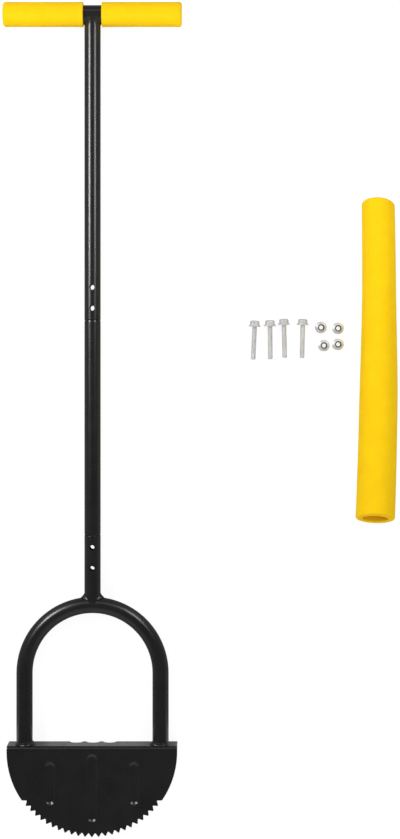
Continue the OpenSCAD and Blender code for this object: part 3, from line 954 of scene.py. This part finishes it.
def sleeve_part():
    """The spare sleeve: a ring-shaped section turned along a slightly bowed line, wider towards the near
    end. Both ends are cut aslant: a point lies between the far and the near cut as its height shares out
    the length, and each cut lies farther back the higher the point is, and nearer the farther it is to
    the right, twice as much so on the right half of the far end. The second result is painted shade in
    the bore: how far inside it each point is, from 0 at its mouth to 1."""
    low, high = span("grip_sleeve")
    length = high[1] - low[1]
    far_r, far_h = corner_arc(SLEEVE_FAR_R - SLEEVE_ROUND, SLEEVE_ROUND, SLEEVE_ROUND, -90, 0)
    lip_r, lip_h = corner_arc(SLEEVE_NEAR_R - SLEEVE_LIP, length - SLEEVE_LIP, SLEEVE_LIP, 0, 90)
    skin_h = np.linspace(far_h[-1], lip_h[0], SLEEVE_ROWS)[1:-1]
    near_h = length - np.linspace(0, SLEEVE_SHADE, SHADE_ROWS)
    bore_h = np.concatenate([near_h, np.linspace(near_h[-1], 0, BORE_ROWS)[1:]])
    from_end = np.minimum(bore_h, length - bore_h)
    bore_r = SLEEVE_BORE_R + np.maximum(BORE_LIP - from_end, 0)
    radius = np.concatenate([far_r, sleeve_skin(skin_h / length), lip_r, bore_r])
    height = np.concatenate([far_h, skin_h, lip_h, bore_h])

    angle = ring_angles(FOAM_STEPS)
    across = radius[:, None] * np.cos(angle)
    rise = radius[:, None] * np.sin(angle)
    far_cut = SLEEVE_SLANT * (SLEEVE_FAR_R - rise) - SLEEVE_FAR_REACH
    far_cut += SLEEVE_SKEW * np.maximum(across, 0)
    near_cut = length - SLEEVE_SLANT * (SLEEVE_NEAR_R + rise) + SLEEVE_NEAR_REACH
    share = height[:, None] / length
    place = far_cut + share * (near_cut - far_cut) + SLEEVE_SKEW * across
    bend = SLEEVE_ASIDE + SLEEVE_LEAN * share + SLEEVE_BOW * share * (1 - share)
    centre_x = (low[0] + high[0]) / 2
    points = np.stack([centre_x + bend + across, high[1] - place, sleeve_skin(share) + rise], axis=-1)
    # Painted shade in the bore: none at the mouth, full from the shade's depth inwards
    inside = np.concatenate([np.zeros(len(radius) - len(bore_h)), smooth_step(from_end / SLEEVE_SHADE)])
    return grid_part(points, wrap=True, loop=True), np.repeat(inside, FOAM_STEPS)


def add_foam(node, part, body):
    """One foam piece."""
    piece = add_piece(node, [part], "yellow_foam", body, crease=FOAM_CREASE)
    return piece


add_foam("left_grip", grip_part("left_grip", -1), "upper_section")
add_foam("right_grip", grip_part("right_grip", 1), "upper_section")
sleeve_grid, sleeve_bore_shade = sleeve_part()
sleeve = add_foam("grip_sleeve", sleeve_grid, "loose_sleeve")
# Keeps the bore's painted shade on the sleeve's points
sleeve.data.attributes.new(BORE_SHADE_ATTRIBUTE, "FLOAT", "POINT").data.foreach_set("value", sleeve_bore_shade)


# Bolts and nuts

BOLT_R = 3 * MM
BOLT_L = 40 * MM
BOLT_CHAMFER = 0.8 * MM
THREAD_PITCH = 1 * MM
THREAD_DEPTH = 0.6 * MM
THREAD_ROWS = 8
THREAD_CREST = 0.1
THREAD_FLANK = 1.25
HEX_HALF = 5 * MM
HEX_CORNER = 0.15 * MM
FLANGE_R = 7.1 * MM
FLANGE_T = 1.2 * MM
FLANGE_SLOPE = 1 * MM
FLANGE_RUN = 1.85 * MM
FLANGE_CURVE = 0.8
FLANGE_ROWS = 6
# Heights of the rows on top of a hexagon, and the radius that each row is cut to
BOLT_TOP_H = np.array([4.2, 5.5, 5.9, 6.25, 6.5, 6.6, 6.6, 6.45, 6.4, 6.4]) * MM
BOLT_TOP_R = np.array([9, 9, 5.5, 5.2, 4.95, 4.7, 4.1, 3.6, 2.0, 0]) * MM
NUT_TOP_H = np.array([4.2, 4.9, 5.25, 5.4]) * MM
NUT_TOP_R = np.array([9, 5.6, 5.2, 4.85]) * MM
NUT_H = 8 * MM
NUT_HEX_H = 5.4 * MM
NUT_COLLAR_R = 4.6 * MM
COLLAR_ROUND = 0.6 * MM
NUT_BORE_R = 2.5 * MM
NUT_THREAD_DEPTH = 0.45 * MM
NUT_THREAD_ROWS = 40
RING_R = 4.05 * MM
RING_BORE_R = 2.6 * MM
RING_T = 1.5 * MM
RING_ROUND = 0.3 * MM
LIP_BORE_R = 3.9 * MM
SOFT = 0.25 * MM
HEAD_STEPS = 72
SHANK_STEPS = 36
RING_STEPS = 48
# Angles at which the loose pieces lie, as in the frame
BOLT_LEANS = (-2.4, 0.8, 1.6, -0.9)
NUT_TURNS = (12, 24, 5, 16)


def hexagon():
    """Distance from the middle to a hexagon's side all round, with corners a little rounded."""
    sixth = np.pi / 3
    side = HEX_HALF / np.cos(ring_angles(HEAD_STEPS) % sixth - sixth / 2)
    return np.minimum(side, HEX_HALF / math.cos(sixth / 2) - HEX_CORNER)


def flanged_rows():
    """Radius and height of a flange and of the foot of its hexagon, row by row: the flange's slope gives
    way to the hexagon where the hexagon is wider."""
    slope = np.linspace(0, 1, FLANGE_ROWS)
    plain_r = np.concatenate([
        [FLANGE_R - SOFT, FLANGE_R, FLANGE_R],
        FLANGE_R - SOFT - FLANGE_RUN * slope,
    ])
    plain_h = np.concatenate([
        [0, SOFT, FLANGE_T - SOFT],
        FLANGE_T - SOFT / 3 + (FLANGE_SLOPE + SOFT / 3) * slope**FLANGE_CURVE,
    ])
    on_slope = plain_h[:, None] > FLANGE_T - SOFT / 2
    return np.maximum(plain_r[:, None], np.where(on_slope, hexagon(), 0)), plain_h


def thread_radius(rows, steps, crest, depth):
    """Radius over a screw thread: it falls from crest to root and rises again once a pitch, and a turn
    round the axis shifts it by one pitch."""
    angle = np.arange(steps) / steps
    turns = rows[:, None] / THREAD_PITCH - angle
    wave = np.abs(turns % 1 * 2 - 1)
    return crest - depth * np.clip(THREAD_FLANK * wave - THREAD_CREST, 0, 1)


def bolt_parts(node, lean):
    """A flange bolt, resting on its flange's edge and its tip: a flanged hexagon with a chamfered top,
    and a shank whose thread runs up to the flange."""
    low, high = span(node)
    tilt = math.atan((FLANGE_R - BOLT_R) / (BOLT_L - BOLT_CHAMFER))
    level = math.cos(tilt)
    lean = math.radians(lean)
    along = np.array([math.sin(lean) * level, -math.cos(lean) * level, -math.sin(tilt)])
    across = np.array([math.cos(lean), math.sin(lean), 0])
    tip_r = BOLT_R - BOLT_CHAMFER
    seat = np.array([
        (low[0] + high[0]) / 2,
        low[1] - BOLT_L * along[1] + tip_r * math.hypot(along[0], along[2]),
        FLANGE_R * level,
    ])
    basis = [across, np.cross(along, across), along]

    flange_r, flange_h = flanged_rows()
    foot_r = np.full((1, HEAD_STEPS), BOLT_R - THREAD_DEPTH)
    head_r = np.concatenate([foot_r, flange_r, np.minimum(hexagon(), BOLT_TOP_R[:, None])])
    head_h = np.concatenate([[0], flange_h, BOLT_TOP_H])
    head = turned(head_r, -head_h, seat, basis, HEAD_STEPS)

    rows = np.linspace(0, BOLT_L, round(BOLT_L / THREAD_PITCH) * THREAD_ROWS + 1)
    thread_r = thread_radius(rows, SHANK_STEPS, BOLT_R, THREAD_DEPTH)
    tip = tip_r + np.maximum(BOLT_L - rows, 0)
    pole = np.zeros((1, SHANK_STEPS))
    shank_r = np.concatenate([pole, np.minimum(thread_r, tip[:, None]), pole])
    root_h = -FLANGE_T / 2
    shank_h = np.concatenate([[root_h, root_h], rows[1:], [BOLT_L]])
    shank = turned(shank_r, shank_h, seat, basis, SHANK_STEPS)
    return [head, shank]


def nut_frame(node, turn):
    """A nut's middle on the floor and its directions, the last one from flange to collar."""
    low, high = span(node)
    turn = math.radians(turn)
    across = np.array([math.cos(turn), math.sin(turn), 0])
    up = np.array([0, 0, 1])
    origin = np.array([(low[0] + high[0]) / 2, (low[1] + high[1]) / 2, 0])
    return origin, [across, np.cross(up, across), up]


def nut_part(origin, basis):
    """A flange lock nut, as one closed ring of rows: the flange, the hexagon with its top chamfer, the
    collar with its rolled lip, the seat of the nylon ring, and the threaded bore back to the flange."""
    flange_r, flange_h = flanged_rows()
    hex_r = np.minimum(hexagon(), NUT_TOP_R[:, None])
    round_r, round_h = corner_arc(NUT_COLLAR_R - COLLAR_ROUND, NUT_H - COLLAR_ROUND, COLLAR_ROUND, 0, 90)
    seat_r = RING_R + SEAT_GAP
    seat_h = NUT_HEX_H + RING_T + 2 * SEAT_GAP
    collar_r = np.concatenate([
        [NUT_COLLAR_R],
        round_r,
        [LIP_BORE_R, LIP_BORE_R, seat_r, seat_r, NUT_BORE_R + SOFT],
    ])
    collar_h = np.concatenate([
        [NUT_HEX_H],
        round_h,
        [NUT_H - SOFT, seat_h, seat_h, NUT_HEX_H, NUT_HEX_H],
    ])
    collar_rows = np.repeat(collar_r[:, None], HEAD_STEPS, axis=1)
    bore_h = np.linspace(NUT_HEX_H - SOFT, SOFT, NUT_THREAD_ROWS)
    bore_r = thread_radius(bore_h, HEAD_STEPS, NUT_BORE_R + NUT_THREAD_DEPTH, NUT_THREAD_DEPTH)
    mouth_r = np.full((1, HEAD_STEPS), BOLT_R + 2 * SOFT)
    radius = np.concatenate([flange_r, hex_r, collar_rows, bore_r, mouth_r])
    height = np.concatenate([flange_h, NUT_TOP_H, collar_h, bore_h, [0]])
    return turned(radius, height, origin, basis, HEAD_STEPS, loop=True)


def nylon_part(origin, basis):
    """The nylon ring in a nut's collar, with softened edges round its hole."""
    low = NUT_HEX_H + SEAT_GAP
    high = low + RING_T
    edge_r = RING_BORE_R + RING_ROUND
    radius = np.array([RING_R, RING_R, edge_r, RING_BORE_R, RING_BORE_R, edge_r])
    height = np.array([low, high, high, high - RING_ROUND, low + RING_ROUND, low])
    return turned(radius, height, origin, basis, RING_STEPS, loop=True)


for number, lean in enumerate(BOLT_LEANS, 1):
    bolt = f"bolt_{number}"
    add_piece(bolt, bolt_parts(bolt, lean), "zinc_plate", f"loose_{bolt}", crease=ZINC_CREASE)

for number, turn in enumerate(NUT_TURNS, 1):
    nut = f"nut_{number}"
    origin, basis = nut_frame(nut, turn)
    add_piece(nut, [nut_part(origin, basis)], "zinc_plate", f"loose_{nut}", crease=ZINC_CREASE)
    add_piece(f"nut_ring_{number}", [nylon_part(origin, basis)], "nylon", f"loose_{nut}")


# Floor, light and camera

FLOOR_HALF = 40.0
FLOOR_DROP = 0.1 * MM
STRIP_ALONG = 0.49
STRIP_W = 0.22
STRIP_L = 0.5
AMBIENT = 0.36
# What the coat mirrors: levels by the height of a direction, and by its place from near to far
HEIGHT_STOPS = ((0.05, 0.2), (0.6, 0.03))
BAND_STOPS = ((0.52, 0), (0.72, 0.85), (0.92, 0))
NEAR_GLOW = 0.3
NEAR_RANGE = (-0.35, -0.75)
FAR_DIM = 0.2
FAR_RANGE = (0.2, 0.6)
# The camera looks straight down, with its sensor's width on the picture's long side
SENSOR_MM = 36
IMAGE_H = 839
FOCAL_PIXELS = 1836
CAMERA_Y = 0.0889
CAMERA_Z = 2.215
SHIFT_PIXELS = -75.7


def add_floor():
    """Wide flat floor, a hair below the tool so that nothing shares its plane."""
    ends = np.array([-FLOOR_HALF, FLOOR_HALF])
    x, y = np.meshgrid(ends, ends)
    points = np.stack([x, y, np.full_like(x, -FLOOR_DROP)], axis=-1)
    floor = bpy.data.objects.new("floor", make_mesh("floor", [grid_part(points)], False))
    floor.data.materials.append(finishes["white_floor"])
    bpy.context.scene.collection.objects.link(floor)


def add_lamp(name, place, turn, width, length, power):
    """A soft light, which faces down before it is turned."""
    light = bpy.data.lights.new(name, "AREA")
    light.shape = "RECTANGLE"
    light.size = width
    light.size_y = length
    light.energy = power
    lamp = bpy.data.objects.new(name, light)
    lamp.location = place
    lamp.rotation_euler = turn
    bpy.context.scene.collection.objects.link(lamp)
    return lamp


def add_strip(name, tilt, distance, power):
    """A long light beside the shaft, tilted by degrees from straight above and facing the shaft. It is
    wider the farther off it is, so that it looks as wide from the shaft."""
    tilt = math.radians(tilt)
    place = (TOOL_X + distance * math.sin(tilt), STRIP_ALONG, AXIS_Z + distance * math.cos(tilt))
    add_lamp(name, place, (0, tilt, 0), STRIP_W * distance, STRIP_L, power)


def add_panel(name, place, lean, size, power):
    """A wide panel, leaning by degrees about X, which lights the matt pieces evenly and isn't mirrored
    in the coat."""
    panel = add_lamp(name, place, (math.radians(lean), 0, 0), size, size, power)
    panel.visible_glossy = False


def set_world():
    """Studio walls: white to the camera, even light on matt pieces, and in what the coat mirrors a dim
    glow near the horizon and on the near wall, and a soft band high on the far wall."""
    world = bpy.data.worlds.new("studio")
    world.use_nodes = True
    tree = world.node_tree
    direction = add_node(tree, "ShaderNodeTexCoord").outputs["Generated"]
    parted = add_node(tree, "ShaderNodeSeparateXYZ", {"Vector": direction}).outputs
    mirrored = add_node(tree, "ShaderNodeLightPath").outputs["Is Glossy Ray"]
    far_wall = spread_value(tree, parted["Y"], 1, FAR_DIM, *FAR_RANGE)
    near_wall = spread_value(tree, parted["Y"], 0, NEAR_GLOW, *NEAR_RANGE)
    band = add_ramp(tree, parted["Y"], BAND_STOPS, "EASE")
    dim = mix_colours(tree, 1.0, add_ramp(tree, parted["Z"], HEIGHT_STOPS), far_wall, "MULTIPLY")
    dim = mix_colours(tree, 1.0, dim, near_wall, "ADD")
    dim = mix_colours(tree, 1.0, dim, band, "ADD")
    walls = tree.nodes["Background"]
    tree.links.new(mix_colours(tree, mirrored, grey(AMBIENT), dim), walls.inputs["Color"])
    white = add_node(tree, "ShaderNodeBackground", {"Color": grey(1)})
    show_white(tree, walls, white, "World Output")
    bpy.context.scene.world = world


def add_camera():
    """Camera straight above the layout, with the picture's up along the tool."""
    lens = bpy.data.cameras.new("camera")
    lens.sensor_width = SENSOR_MM
    lens.lens = FOCAL_PIXELS / IMAGE_H * SENSOR_MM
    lens.shift_y = SHIFT_PIXELS / IMAGE_H
    camera = bpy.data.objects.new("camera", lens)
    camera.location = (0, CAMERA_Y, CAMERA_Z)
    bpy.context.scene.collection.objects.link(camera)
    bpy.context.scene.camera = camera


add_floor()
add_strip("left_strip", tilt=-42, distance=1.25, power=9.8)
add_strip("right_strip", tilt=40, distance=1.0, power=3.2)
add_panel("fill", place=(0.35, -0.2, 1.1), lean=0, size=2.4, power=5.0)
add_panel("front", place=(0.25, -1.1, 0.55), lean=61, size=0.8, power=3.3)
set_world()
add_camera()
bpy.context.scene.view_settings.view_transform = "Standard"
